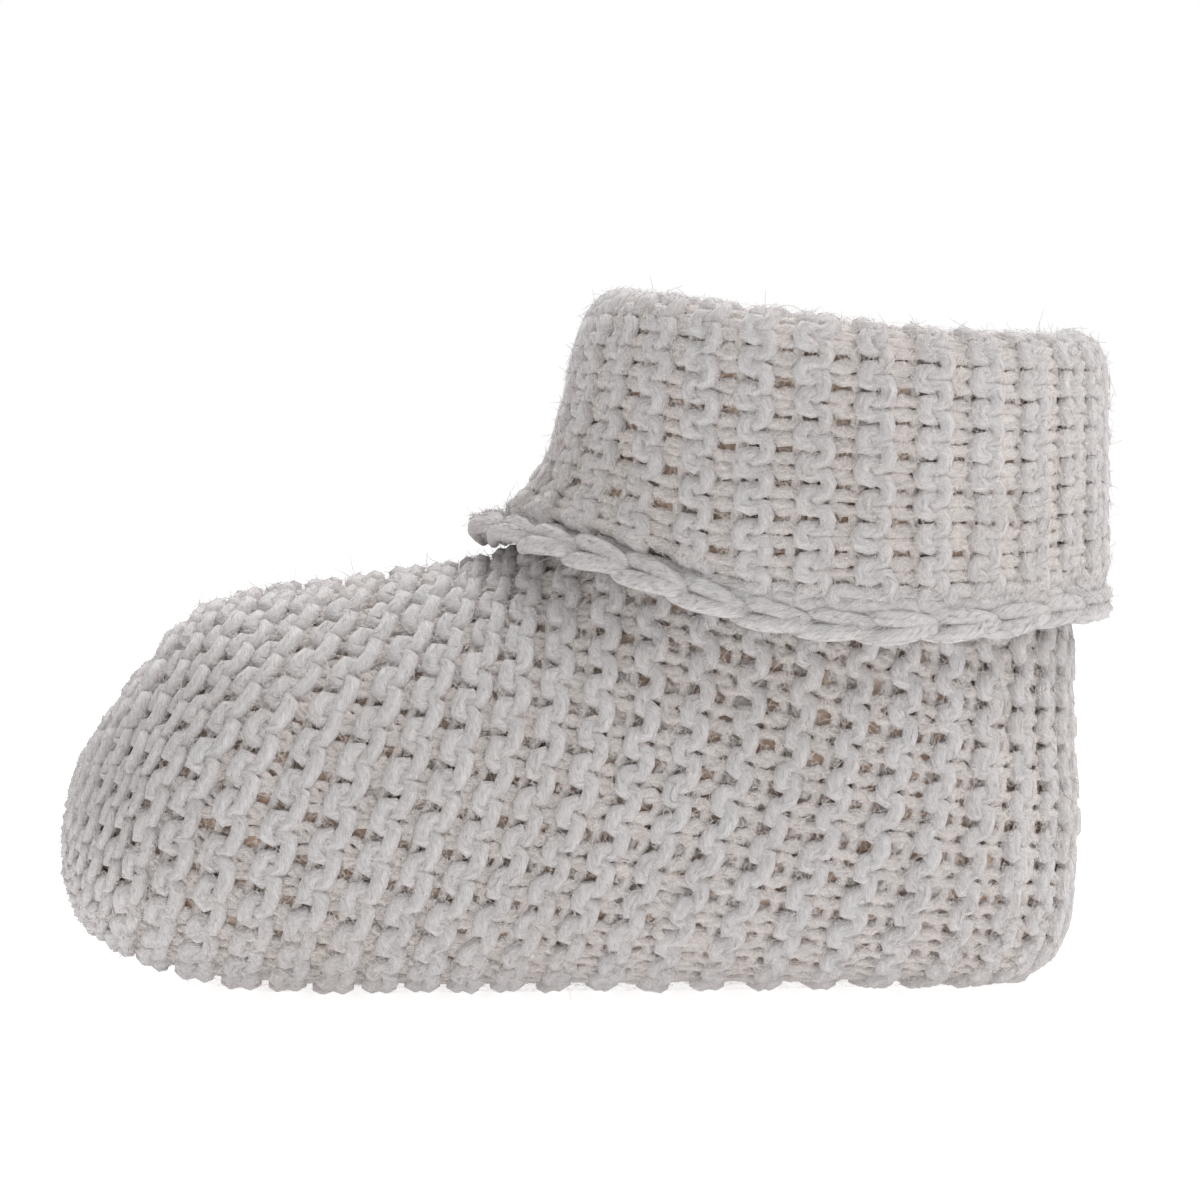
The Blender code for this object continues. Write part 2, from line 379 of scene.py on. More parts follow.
def toe_gather(tree, cloth, first, last):
    """Yarn drawn together from the first row into the middle of the toe."""
    middle = outer_wall(tree, TOE_CENTRE, (-1.0, 0.0, 0.0))
    rim = cloth.look_up(cloth.places, np.full(TOE_STRANDS, FIRST_ROW),
                        np.linspace(first, last, TOE_STRANDS))
    rim = np.concatenate((rim, rim[1:-1] * (1, -1, 1)))
    run = np.linspace(-0.12, 0.97, 10)
    depth = MM * np.interp(run, (-0.12, 0.1, 0.6, 1.0), (-2.0, -0.9, -1.0, -2.2))
    radius = YARN * np.interp(run, (-0.12, 0.2, 1.0), (0.7, 1.0, 0.6))
    forward = np.interp(run, (0, 0.6, 1.0), (1.0, 0.8, 0.3))
    drawn = []
    for point in rim:
        outward = np.array([unit(point + (middle - point) * share - TOE_CENTRE) for share in run])
        path = np.array([outer_wall(tree, TOE_CENTRE, way) for way in outward])
        drawn.append((tube(path + outward * depth[:, None], outward, radius, SIDES), forward))
    return drawn


# ---- the cuff's and the shaft's rows

CUFF_ROWS = 56              # two for each garter ridge round the cuff
CUFF_SKIRT = 7.5            # stitches from the hem to the fold
CUFF_FOLD = 3.0             # stitches over the fold
SPARE_ROWS = 2              # the rows that the cuff's grid goes on past where it closes
CUFF_AXIS = 26 * MM         # where the rows start out from, and how high they are counted
CUFF_LEVEL = 54 * MM
CUFF_STITCHES = (-1.25, 30.0)
CUFF_START = -0.9           # the cuff's rows start here, hidden in the chain
RIM_LEVELS = np.arange(66, 40, -0.25) * MM      # from over the shaft's rim down
UNDER_HEM = 30 * MM
WALL_STEP = 0.5 * MM        # how closely the cuff and the shaft are searched
FOLD_MIDDLE = 0.15          # how far outside the shaft's rim the fold turns, in millimetres
FOLD_REACH = 20 * MM
FOLD_STEPS = 36
HEM_STITCH = 0.6            # below this the rows leave the cuff's wall and run into the chain
CHAIN_STITCH = -0.8         # here they are at its front
PAST_CHAIN = 1.15           # and this much of the way they go at most
SHAFT_PITCH = 3.8 * MM      # the length of a stitch inside
SHAFT_BOTTOM = 4.6 * MM     # the inside rows end here, over the insole
SHAFT_MIDDLE = 20 * MM
THROAT = 27 * MM            # the inside rows end where the shaft opens wider than this
INSOLE_FRONT = -14 * MM     # how far forward the insole's rows go
INSOLE_LEVEL = 7 * MM       # how high the insole's width is measured
INSOLE_START = 12 * MM      # from here the insole is searched, downwards
INSOLE_HEIGHT = 3.4 * MM    # the insole where no wall is found
INSOLE_COLUMNS = 45
INSIDE_FRONT = -24 * MM     # from here to here the inside of the foot's walls is knitted
INSIDE_BACK = 16 * MM
INSIDE_TOP = ((-8 * MM, 5 * MM, 16 * MM), (41 * MM, 32 * MM, 24 * MM))  # how high, along the foot
INSIDE_CENTRE = 16 * MM     # from this height the walls are searched
INSIDE_ANGLES = np.radians(np.linspace(30, 165, 90))    # from straight down
INSIDE_COLUMNS = 49
INSIDE_STEP = 1.2 * MM      # how closely the inside is searched, and how far off the walls it ends


def cuff_line(foot, cuff, azimuth):
    """A line from the hem up the cuff's outside, over the fold and down the shaft's inside, with
    its lengths where the fold starts and ends."""
    way = np.array((math.cos(azimuth), math.sin(azimuth), 0.0))
    base = np.array((CUFF_AXIS, 0.0, 0.0))
    rim = found(outer_wall(foot, base + (0, 0, z), way) for z in RIM_LEVELS)[0]
    centre = rim + way * FOLD_MIDDLE * MM
    skirt = found(outer_wall(cuff, base + (0, 0, z), way)
                  for z in np.arange(UNDER_HEM, centre[2], WALL_STEP))
    turns = [math.pi * step / FOLD_STEPS for step in range(1, FOLD_STEPS)]
    fold = found(outer_wall(cuff, centre, way * math.cos(turn) + (0, 0, math.sin(turn)),
                            FOLD_REACH) for turn in turns)
    inside = []
    for z in np.arange(rim[2] - WALL_STEP, SHAFT_BOTTOM, -WALL_STEP):
        point = inner_wall(foot, base + (0, 0, z), way)
        if point is None or np.linalg.norm((point - base)[:2]) > THROAT:
            break
        inside.append(point)
    line = np.array(skirt + fold + inside)
    lengths = along(line)
    return line, lengths, lengths[len(skirt) - 1], lengths[len(skirt) + len(fold) - 1]


def cuff_cloth(foot, cuff, chain):
    """The cuff and the shaft's inside as a grid of rows and stitches, and each row's last stitch.
    chain is the front of the chain round the hem, which the first stitches reach."""
    azimuths = np.linspace(0, 2 * math.pi, 721)
    round_it = along(np.array([
        outer_wall(cuff, (CUFF_AXIS, 0.0, CUFF_LEVEL), (math.cos(a), math.sin(a), 0.0))
        for a in azimuths]))
    stitches = np.arange(*CUFF_STITCHES, STITCH_STEP)
    rows = np.arange(-SPARE_ROWS, CUFF_ROWS + SPARE_ROWS + 1)
    grid = np.zeros((len(rows), len(stitches), 3))
    ends = []
    for index, row in enumerate(rows):
        azimuth = np.interp(((row + 0.5) / CUFF_ROWS % 1) * round_it[-1], round_it, azimuths)
        line, lengths, skirt, fold = cuff_line(foot, cuff, azimuth)
        total = lengths[-1]
        last = CUFF_SKIRT + CUFF_FOLD + (total - fold) / SHAFT_PITCH
        places = np.interp(stitches, (0, CUFF_SKIRT, CUFF_SKIRT + CUFF_FOLD, last),
                           (0, skirt, fold, total))
        spots = at_lengths(line, lengths, places)
        before = stitches < HEM_STITCH
        hem = chain[np.linalg.norm(chain - line[0], axis=1).argmin()]
        start = at_lengths(line, lengths, [HEM_STITCH / CUFF_SKIRT * skirt])
        share = (HEM_STITCH - stitches[before]) / (HEM_STITCH - CHAIN_STITCH)
        share = np.minimum(share, PAST_CHAIN)
        spots[before] = start + (hem - start) * share[:, None]
        after = stitches > last
        onward = unit(line[-1] - line[-5])
        spots[after] = line[-1] + onward * (stitches[after, None] - last) * SHAFT_PITCH
        grid[index] = spots
        ends.append(last)
    return Cloth(rows[0], 1.0, stitches[0], grid), ends


# ---- knitting

LINKS = 28                  # chain stitches round the hem
CHAIN_SPREAD = 0.88 * MM    # how far a link's strands stand apart, halved
CHAIN_YARN = 0.86 * MM
CHAIN_SIDES = 8
CHAIN_POINTS = 280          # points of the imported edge's middle line
CHAIN_SLICE = 0.05          # each is the middle of a slice of twice this angle
LINK_START = -0.22          # where a link's strands start and how long they are, in links
LINK_LENGTH = 1.55
CHAIN_FRONT = 0.8 * MM      # how far before that line the cuff's rows reach


def garter_row(cloth, row, row_step, first, last, feet_in_front, seed, tilt=HEEL_TILT,
               overlap=CUFF_OVERLAP, leg=CUFF_LEG, width=LOOP_WIDTH, apart=CUFF_LEGS,
               proud=0.0, steps=STEPS, sides=SIDES, tucked=(False, False), hem=False):
    """The yarn of one row of garter stitch: loops whose feet or whose heads stand out in front.
    Its ends can be tucked in, or its first one held in front, where it meets the hem's chain."""
    count = max(int(round((last - first) * steps)), 3)
    run = np.linspace(first, last, count + 1)
    turn = 2 * math.pi * run
    rng = np.random.default_rng(seed)
    knots = np.arange(math.floor(first) - 1, math.ceil(last) + 1.5, 0.5)

    def wander(size):
        return np.interp(run, knots, rng.normal(0, size, len(knots)))

    swing = np.cos(turn)
    stitch = run + width * np.sin(2 * turn) - apart * np.sin(turn) + wander(UNEVEN)
    spacing = cloth.look_up(cloth.spacing, row + 0 * run, stitch) * row_step
    reach = 0.5 + np.clip(overlap / spacing, LEAST_OVERLAP, MOST_OVERLAP) + wander(END_UNEVEN)
    swung = reach * swing * (1 + BLUNT - BLUNT * swing ** 2)
    rows = row + (tilt * np.sin(2 * turn) - swung) * row_step
    front = swing if feet_in_front else -swing
    bulge = eased((front - BULGE_FROM) / BULGE_OVER)
    behind = np.clip(-front, 0, 1) ** 2
    place = cloth.look_up(cloth.places, rows, stitch)
    outward = units(cloth.look_up(cloth.outward, rows, stitch))
    slim = np.clip(spacing / SLIM_BELOW, SLIMMEST, 1.0)
    if hem:
        held = np.clip(1 - run / HELD_RUN, 0, 1)
        bulge = np.maximum(bulge, held)
        behind *= 1 - held
    depth = proud - FRONT - RELIEF * (1 - bulge) - SINK * behind + wander(DEPTH_UNEVEN)
    for tuck, distance in zip(tucked, (run - first, last - run)):
        if tuck:
            depth -= TUCK * np.clip(1 - distance / TUCK_RUN, 0, 1)
    thick = leg + (1 - leg) * bulge
    radius = YARN * slim * thick * (1 + wander(YARN_UNEVEN))
    return tube(place + outward * depth[:, None], outward, radius, sides), bulge


def chain_line(foot):
    """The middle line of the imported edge, once round the hem from the back, with the directions
    outward from the foot and its lengths."""
    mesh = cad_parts["chain_edge"].data
    points = np.array([vertex.co for vertex in mesh.vertices])
    angles = np.arctan2(points[:, 1], points[:, 0] - SHAFT_MIDDLE)
    middle = []
    for step in range(CHAIN_POINTS):
        angle = 2 * math.pi * step / CHAIN_POINTS
        apart = np.abs((angles - angle + math.pi) % (2 * math.pi) - math.pi)
        middle.append(points[apart < CHAIN_SLICE].mean(axis=0))
    middle = soften_ring(np.array(middle), 3)
    outward = soften_ring(np.array([unit(point - np.array(foot.find_nearest(Vector(point))[0]))
                                    for point in middle]), 6)
    closed = np.concatenate((middle, middle[:1]))
    return closed, np.concatenate((outward, outward[:1])), along(closed)


def chain_link(line, outward, lengths, number, hand, seed):
    """One of the two strands of a chain stitch, from its wide start to its tucked-in end."""
    rng = np.random.default_rng(seed)
    run = np.linspace(0, 1, 13)
    total = lengths[-1]
    links = number + LINK_START + LINK_LENGTH * run + rng.normal(0, 0.03)
    place = (links / LINKS * total) % total
    middle = at_lengths(line, lengths, place)
    out = units(at_lengths(outward, lengths, place))
    side = np.cross(units(np.gradient(middle, axis=0)), out)
    bends = (0, 0.12, 0.3, 0.6, 0.85, 1)
    spread = CHAIN_SPREAD * (1 + rng.normal(0, 0.08)) * np.interp(
        run, bends, (0.55, 0.95, 1.05, 0.7, 0.22, 0.05))
    rise = MM * np.interp(run, bends, (-1.2, -0.2, 0.6, 0.85, 0.5, -0.7))
    path = middle + side * (hand * spread)[:, None] + out * rise[:, None]
    thick = np.interp(run, (0, 0.15, 0.4, 0.7, 1), (0.6, 0.9, 1.05, 0.95, 0.6))
    radius = CHAIN_YARN * thick * (1 + rng.normal(0, 0.05))
    return tube(path, out, radius, CHAIN_SIDES), np.clip(rise / MM + 0.5, 0, 1)


def rings_round(path, ahead, side, radius, sides):
    """A ring of points round each point of a path or of many paths."""
    up = np.cross(side, ahead)
    angles = 2 * math.pi * np.arange(sides)[:, None] / sides
    return path[..., None, :] + radius[..., None, None] * (
        np.cos(angles) * up[..., None, :] + np.sin(angles) * side[..., None, :])


def tube(path, outward, radius, sides):
    """Rings of points round a length of yarn."""
    ahead = units(np.gradient(path, axis=0))
    return rings_round(path, ahead, units(np.cross(ahead, outward)), radius, sides)


def mirrored(rings):
    """The same yarn on the far side, still with its faces outwards."""
    far = rings.copy()
    far[:, :, 1] *= -1
    return far[:, ::-1, :]


# ---- pieces

def new_piece(name, points, faces, material, attribute, values):
    """A smooth mesh in the scene, with a value at each of its points."""
    mesh = bpy.data.meshes.new(name)
    mesh.from_pydata(points, [], faces)
    layer = mesh.attributes.new(attribute, "FLOAT", "POINT")
    layer.data.foreach_set("value", np.array(values, dtype=np.float32))
    mesh.materials.append(material)
    mesh.shade_smooth()
    piece = bpy.data.objects.new(name, mesh)
    bpy.context.scene.collection.objects.link(piece)
    return piece


def yarn_piece(name, yarns, wool):
    """One mesh of many lengths of yarn, with a UV map along and round the yarn in millimetres and
    turns, and how far forward each point stands. No yarn goes below the floor."""
    points, faces, corners, raised, caps = [], [], [], [], []
    start = 0
    for number, (rings, forward) in enumerate(yarns):
        count, sides, _ = rings.shape
        run = along(rings.mean(axis=1)) / MM + number * YARN_SHIFT
        ring = np.arange(count - 1)[:, None]
        point = np.arange(sides)[None, :]
        after = (point + 1) % sides
        here = start + ring * sides
        there = here + sides
        faces.append(np.stack([here + point, here + after, there + after, there + point],
                              axis=-1).reshape(-1, 4))
        u0, u1, v0 = np.broadcast_arrays(run[:-1, None], run[1:, None], point / sides)
        v1 = v0 + 1 / sides
        corners.append(np.stack([u0, v0, u0, v1, u1, v1, u1, v0], axis=-1).reshape(-1, 2))
        points.append(rings.reshape(-1, 3))
        raised.append(np.repeat(forward, sides))
        caps.append(tuple(range(start + sides - 1, start - 1, -1)))
        caps.append(tuple(range(start + (count - 1) * sides, start + count * sides)))
        start += count * sides
    points = np.concatenate(points)
    points[:, 2] = np.maximum(points[:, 2], 0.0)
    piece = new_piece(name, points.tolist(), np.concatenate(faces).tolist() + caps, wool,
                      "forward", np.concatenate(raised))
    layer = piece.data.uv_layers.new(name="yarn")
    uv = np.zeros((len(piece.data.loops), 2))
    flat = np.concatenate(corners)
    uv[:len(flat)] = flat
    layer.data.foreach_set("uv", uv.ravel())
    return piece


def fuzz_piece(name, yarns, fibres, count, seed):
    """Loose wool fibres that lie on the yarn or stray out of it, as one mesh of thin tubes with
    three sides and two bends, each with a shade of its own."""
    rng = np.random.default_rng(seed)
    skin = np.concatenate([rings for rings, forward in yarns])
    middle = skin.mean(axis=1)
    ahead = np.concatenate([np.gradient(rings.mean(axis=1), axis=0) for rings, forward in yarns])
    chance = 0.25 + np.concatenate([forward for rings, forward in yarns])
    chance *= middle[:, 2] > BARE_BELOW
    spots = rng.choice(len(skin), size=count, p=chance / chance.sum())
    # Most fibres start from the side of the yarn that faces outwards.
    corner = np.rint(rng.normal(0, 1.2, count)).astype(int) % skin.shape[1]
    surface = skin[spots, corner]
    normal = units(surface - middle[spots])
    along_it = units(ahead[spots]) * rng.choice((-1.0, 1.0), count)[:, None]
    across = np.cross(normal, along_it)
    strays = rng.random(count) < STRAY
    lift = np.where(strays, rng.uniform(0.1, 0.75, count), rng.uniform(0.0, 0.22, count))
    lean = np.where(strays, rng.normal(0, 0.7, count), rng.normal(0.25, 0.3, count))
    way = units(normal * lift[:, None] + along_it * rng.uniform(0.5, 1.0, count)[:, None]
                + across * lean[:, None])
    bend = np.cross(way, rng.normal(0, 1, (count, 3))) * np.where(strays, 0.55, 0.18)[:, None]
    bend -= normal * (rng.uniform(0, 0.35, count) * np.where(strays, 1.0, 0.4))[:, None]
    length = rng.gamma(4.0, 0.28, count) * MM * np.where(strays, 0.72, 1.0)
    start = surface - normal * np.where(strays, 0.12, -0.03)[:, None] * MM
    run = np.array((0.0, 0.5, 1.0))[None, :, None]
    path = start[:, None] + length[:, None, None] * (way[:, None] * run + bend[:, None] * run ** 2)
    path[:, :, 2] = np.maximum(path[:, :, 2], LOWEST_FIBRE)
    ahead = units(np.gradient(path, axis=1))
    side = units(np.cross(ahead, normal[:, None] + 0.01))
    points = rings_round(path, ahead, side, FIBRE * np.array((1.0, 0.8, 0.45)), 3)
    ring = np.arange(3)
    after = (ring + 1) % 3
    walls = [np.stack([low + ring, low + after, low + 3 + after, low + 3 + ring], -1)
             for low in (0, 3)]
    starts = 9 * np.arange(count)[:, None, None]
    quads = np.concatenate(walls)[None] + starts
    ends = np.array(((2, 1, 0), (6, 7, 8)))[None] + starts
    faces = quads.reshape(-1, 4).tolist() + ends.reshape(-1, 3).tolist()
    return new_piece(name, points.reshape(-1, 3).tolist(), faces, fibres,
                     "forward", np.repeat(rng.random(count), 9))


def sunk_piece(name, node, material, foot, reach, depths, back):
    """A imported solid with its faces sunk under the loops, once for each depth, as one mesh. Where
    its faces look at the foot's wall within reach, they are sunk by back instead."""
    shape = bmesh.new()
    shape.from_mesh(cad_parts[node].data)
    bmesh.ops.remove_doubles(shape, verts=shape.verts, dist=WELD)
    bmesh.ops.recalc_face_normals(shape, faces=shape.faces)
    shape.normal_update()
    points, faces, levels = [], [], []
    for level, depth in enumerate(depths):
        start = len(points)
        for vertex in shape.verts:
            before = vertex.co + vertex.normal * CLEAR
            faces_in = foot.ray_cast(before, vertex.normal, reach)[0] is not None
            place = vertex.co - vertex.normal * (back if faces_in else depth)
            place.z = max(place.z, 0.0)
            points.append(place)
        faces += [[start + vertex.index for vertex in face.verts] for face in shape.faces]
        levels += [float(level)] * len(shape.verts)
    shape.free()
    return new_piece(name, points, faces, material, "level", levels)


# ---- materials

class Nodes:
    """Adds nodes to a tree. An input is set to a value or linked to another node's output."""

    def __init__(self, tree):
        self.tree = tree

    def fill(self, node, inputs):
        for name, value in inputs.items():
            if isinstance(value, bpy.types.NodeSocket):
                self.tree.links.new(value, node.inputs[name])
            else:
                node.inputs[name].default_value = value

    def add(self, kind, inputs=None, **settings):
        node = self.tree.nodes.new(kind)
        for name, value in settings.items():
            setattr(node, name, value)
        self.fill(node, inputs or {})
        return node

    def maths(self, operation, first, second=0.0):
        return self.add("ShaderNodeMath", {0: first, 1: second}, operation=operation).outputs[0]

    def noise(self, place, scale, detail, roughness=0.5):
        return self.add("ShaderNodeTexNoise", {"Vector": place, "Scale": scale, "Detail": detail,
                                               "Roughness": roughness}).outputs["Fac"]

    def ramp(self, value, low, high, low_to, high_to):
        return self.add("ShaderNodeMapRange", {"Value": value, "From Min": low, "From Max": high,
                                               "To Min": low_to, "To Max": high_to}).outputs[0]

    def shades(self, value, *stops):
        """A colour at each position of the value, in order, and between them."""
        ramp = self.add("ShaderNodeValToRGB", {0: value})
        elements = ramp.color_ramp.elements
        for number, (position, colour) in enumerate(stops):
            stop = elements[number] if number < 2 else elements.new(position)
            stop.position = position
            stop.color = (*colour, 1.0)
        return ramp.outputs[0]

    def bump(self, height, strength, distance):
        return self.add("ShaderNodeBump", {"Strength": strength, "Distance": distance,
                                           "Height": height}).outputs[0]

    def object_place(self):
        return self.add("ShaderNodeTexCoord").outputs["Object"]

    def attribute(self, name, output="Fac"):
        return self.add("ShaderNodeAttribute", attribute_name=name).outputs[output]


def new_material(name, roughness, shine):
    """A material, the adder of its nodes, and its shader."""
    made = bpy.data.materials.new(name)
    made.use_nodes = True
    nodes = Nodes(made.node_tree)
    shader = made.node_tree.nodes["Principled BSDF"]
    nodes.fill(shader, {"Roughness": roughness, "Specular IOR Level": shine})
    return made, nodes, shader


def new_group(name, inputs, outputs):
    """A node group, the adder of its nodes, what it is given and the node of its results."""
    tree = bpy.data.node_groups.new(name, "ShaderNodeTree")
    for socket, kind in inputs.items():
        tree.interface.new_socket(socket, in_out="INPUT", socket_type=kind)
    for socket, kind in outputs.items():
        tree.interface.new_socket(socket, in_out="OUTPUT", socket_type=kind)
    nodes = Nodes(tree)
    return tree, nodes, nodes.add("NodeGroupInput").outputs, nodes.add("NodeGroupOutput")


def wool_material(name, light, deep):
    """Matt heather wool: one colour where a loop stands forward, another, lighter and warmer, where
    it lies deep, which is painted glow of light scattered through the wool into the recesses.
    """
    made, nodes, shader = new_material(name, 0.92, 0.15)
    yarn = nodes.add("ShaderNodeGroup", {"Light": (*light, 1.0), "Deep_painted_glow": (*deep, 1.0)},
                     node_tree=twisted_yarn())
    nodes.fill(shader, {"Sheen Weight": 0.25, "Sheen Roughness": 0.6,
                        "Base Color": yarn.outputs["Colour"], "Normal": yarn.outputs["Normal"]})
    return made


def twisted_yarn():
    """A node group: heather colour and bump of a twisted yarn, from the yarn's own UV map, with
    painted glow where the yarn lies deep and painted shade and highlight along its fibres.
    """
    tree, nodes, given, result = new_group(
        "twisted_yarn", {"Light": "NodeSocketColor", "Deep_painted_glow": "NodeSocketColor"},
        {"Colour": "NodeSocketColor", "Normal": "NodeSocketVector"})
    maths, ramp = nodes.maths, nodes.ramp
    yarn = nodes.add("ShaderNodeUVMap", uv_map="yarn").outputs[0]
    run, around, _ = nodes.add("ShaderNodeSeparateXYZ", {0: yarn}).outputs
    turn = maths("MULTIPLY", maths("ADD", around, maths("MULTIPLY", run, TWIST)), 2 * math.pi)
    twisted = nodes.add("ShaderNodeCombineXYZ", {0: maths("MULTIPLY", run, 0.30),
                                                 1: maths("COSINE", turn),
                                                 2: maths("SINE", turn)}).outputs[0]
    fibres = nodes.noise(twisted, 5.5, 4.0, 0.65)
    strands = maths("ABSOLUTE", maths("SINE", maths("MULTIPLY", turn, STRANDS / 2)))
    place = nodes.object_place()
    heather = nodes.noise(place, 320.0, 2.0, 0.55)
    blotch = nodes.noise(place, 55.0, 2.0, 0.55)
    # Where the yarn lies deep it takes the lighter, warmer colour: painted glow. The heather noise
    # is the wool's own uneven tone.
    lit_and_heather = maths("ADD", ramp(nodes.attribute("forward"), 0.0, 0.8, 0.1, 0.9),
                ramp(heather, 0.3, 0.7, -0.2, 0.2))
    wool = nodes.add("ShaderNodeMix", {0: lit_and_heather, 6: given["Deep_painted_glow"], 7: given["Light"]},
                     data_type="RGBA").outputs[2]
    # Darker and lighter streaks along the twisted fibres: painted shade and highlight of their
    # relief, multiplying the wool's own blotchy tone.
    painted_fibre_shading = ramp(fibres, 0.36, 0.62, 0.78, 1.14)
    shade = nodes.add("ShaderNodeCombineColor", {
        channel: maths("MULTIPLY", ramp(blotch, 0.35, 0.65, low, 1.0), painted_fibre_shading)
        for channel, low in enumerate((0.94, 0.93, 0.915))}).outputs[0]
    tint = nodes.add("ShaderNodeMix", {0: 1.0, 6: wool, 7: shade},
                     data_type="RGBA", blend_type="MULTIPLY").outputs[2]
    height = maths("ADD", maths("MULTIPLY", strands, 0.15), maths("MULTIPLY", fibres, 0.9))
    nodes.fill(result, {"Colour": tint, "Normal": nodes.bump(height, 0.55, 0.22 * MM)})
    return tree


def curly_hairs():
    """A node group: a mask of fine curly hairs at a place, thin bands round a noise's middle."""
    tree, nodes, given, result = new_group(
        "curly_hairs", {"Place": "NodeSocketVector"}, {"Mask": "NodeSocketFloat"})
    bands = []
    for scale, width in ((430.0, 0.016), (1000.0, 0.026)):
        noise = nodes.noise(given["Place"], scale, 1.0)
        apart = nodes.maths("ABSOLUTE", nodes.maths("SUBTRACT", noise, 0.5))
        bands.append(nodes.ramp(apart, 0.0, width, 0.45, 0.0))
    nodes.fill(result, {"Mask": nodes.maths("MAXIMUM", *bands)})
    return tree


def down_material(name):
    """Loose down between the loops: fine curly hairs with air between them."""
    made, nodes, shader = new_material(name, 1.0, 0.1)
    place = nodes.add("ShaderNodeVectorMath", {0: nodes.object_place(),
                                               1: nodes.attribute("level", "Vector")},
                      operation="ADD").outputs[0]
    hairs = nodes.add("ShaderNodeGroup", {"Place": place}, node_tree=curly_hairs())
    nodes.fill(shader, {"Base Color": (0.80, 0.74, 0.705, 1.0), "Alpha": hairs.outputs["Mask"]})
    return made


def fibre_material(name):
    """Loose wool hairs, from a few tan ones to white."""
    made, nodes, shader = new_material(name, 0.8, 0.2)
    colour = nodes.shades(nodes.attribute("forward"), (0.0, (0.38, 0.29, 0.23)),
                          (0.12, (0.60, 0.575, 0.565)), (1.0, (0.78, 0.765, 0.765)))
    nodes.fill(shader, {"Base Color": colour})
    return made


def shade_sheet_material(name, colour):
    """Painted shade behind the loops: a matt sheet, darker and browner than the wool, with a fine
    grain and bump.
    """
    made, nodes, shader = new_material(name, 1.0, 0.1)
    shade_felt = nodes.noise(nodes.object_place(), 900.0, 3.0)
    shades = nodes.shades(shade_felt, (0.35, [c * 0.8 for c in colour]),
                          (0.65, [c * 1.2 for c in colour]))
    nodes.fill(shader, {"Base Color": shades, "Normal": nodes.bump(shade_felt, 0.5, 0.2 * MM)})
    return made


# ---- building

def ride(piece, slot, *nodes):
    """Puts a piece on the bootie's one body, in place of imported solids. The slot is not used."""
    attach(piece, "root")
    if nodes:
        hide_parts(*nodes)


def back_nodes(foot):
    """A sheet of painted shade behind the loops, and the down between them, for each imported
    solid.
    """
    shade_felt = shade_sheet_material("painted_shade_behind_loops", (0.54, 0.41, 0.325))
    down = down_material("downy_wool")
    for node, slot, reach, depth, depths, back in (
            ("knitted_foot", "foot_wool", REACH, CORE_DEPTH, DOWN, 0.6 * MM),
            ("turned_cuff", "cuff_wool", 4 * MM, CORE_DEPTH, DOWN, 0.0),
            ("chain_edge", "edge_wool", 0.1 * MM, 0.9 * MM, (0.3 * MM,), 0.0)):
        part = node.split("_")[1]
        ride(sunk_piece(part + "_shade_sheet", node, shade_felt, foot, reach, (depth,), back), slot, node)
        ride(sunk_piece(part + "_down", node, down, foot, reach, depths, 1.2 * MM), slot)


def knit_foot(tree, wool, fibres):
    """The foot in garter stitch, in three pieces from the toe to the heel, and its seam."""
    cloth, rows, ends, seam = foot_cloth(tree)
    parts = {"toe": [], "instep": [], "heel": []}
    for index, row in enumerate(rows):
        first, last = ends[index]
        part = "toe" if row < TOE_ROWS else "instep" if row < INSTEP_ROWS else "heel"
        # From the toe to the heel, the loops change over these rows.
        tilt = np.interp(row, (4, 14), (TOE_TILT, HEEL_TILT))
        overlap = np.interp(row, (8, 18), (TOE_OVERLAP, HEEL_OVERLAP))
        width = np.interp(row, (9, 15), (TOE_LOOP_WIDTH, LOOP_WIDTH))
        apart = np.interp(row, (9, 15), (TOE_LEGS, HEEL_LEGS))
        leg = np.interp(row, (9, 15), (TOE_LEG, HEEL_LEG))
        for seed in (NEAR_SEED, FAR_SEED):
            rings, forward = garter_row(cloth, row, ROW_STEP, first, last, index % 2 == 1,
                                        seed + index, tilt, overlap, leg, width, apart,
                                        tucked=(True, row > LAST_HOOP))
            parts[part].append((mirrored(rings) if seed == FAR_SEED else rings, forward))
    parts["toe"] += toe_gather(tree, cloth, *ends[0])
    ride(yarn_piece("sole_seam", sole_seam(cloth, rows, seam), wool), "foot_wool", "knitted_foot")
    for part, count in (("toe", TOE_FIBRES), ("instep", INSTEP_FIBRES), ("heel", HEEL_FIBRES)):
        yarns = parts[part]
        ride(yarn_piece(part + "_knitting", yarns, wool), "foot_wool", "knitted_foot")
        ride(fuzz_piece(part + "_fuzz", yarns, fibres, count, FUZZ_SEED + count), "foot_wool")


def knit_cuff(foot, cuff, wool, fibres):
    """The turned-down cuff outside, and the shaft's lining of the same rows inside."""
    middle, outward, _ = chain_line(foot)
    cloth, ends = cuff_cloth(foot, cuff, middle + outward * CHAIN_FRONT)
    outside, inside = [], []
    turn_in = CUFF_SKIRT + CUFF_FOLD - 0.5
    for row in range(CUFF_ROWS):
        last = math.floor(2 * ends[row + SPARE_ROWS]) / 2
        outside.append(garter_row(cloth, row, 1.0, CUFF_START, turn_in, row % 2 == 1,
                                  CUFF_SEED + row, hem=True))
        if last > turn_in + 1:
            inside.append(garter_row(cloth, row, 1.0, turn_in, last, row % 2 == 1,
                                     SHAFT_SEED + row, **INSIDE))
    ride(yarn_piece("cuff_knitting", outside, wool), "cuff_wool", "turned_cuff")
    ride(yarn_piece("shaft_inside_knitting", inside, wool), "foot_wool", "knitted_foot")
    ride(fuzz_piece("cuff_fuzz", outside, fibres, CUFF_FIBRES, FUZZ_SEED + 1), "cuff_wool")


def inside_rows(grid, seed):
    """Rows of knitting over a grid of the inner wall, two of its lines to a row."""
    cloth = Cloth(0.0, 0.5, 0.0, grid)
    last = (grid.shape[1] - 1) * STITCH_STEP - EDGE
    return [garter_row(cloth, row, 1.0, EDGE, last, row % 2 == 1, seed + row, **INSIDE)
            for row in range(1, grid.shape[0] // 2)]


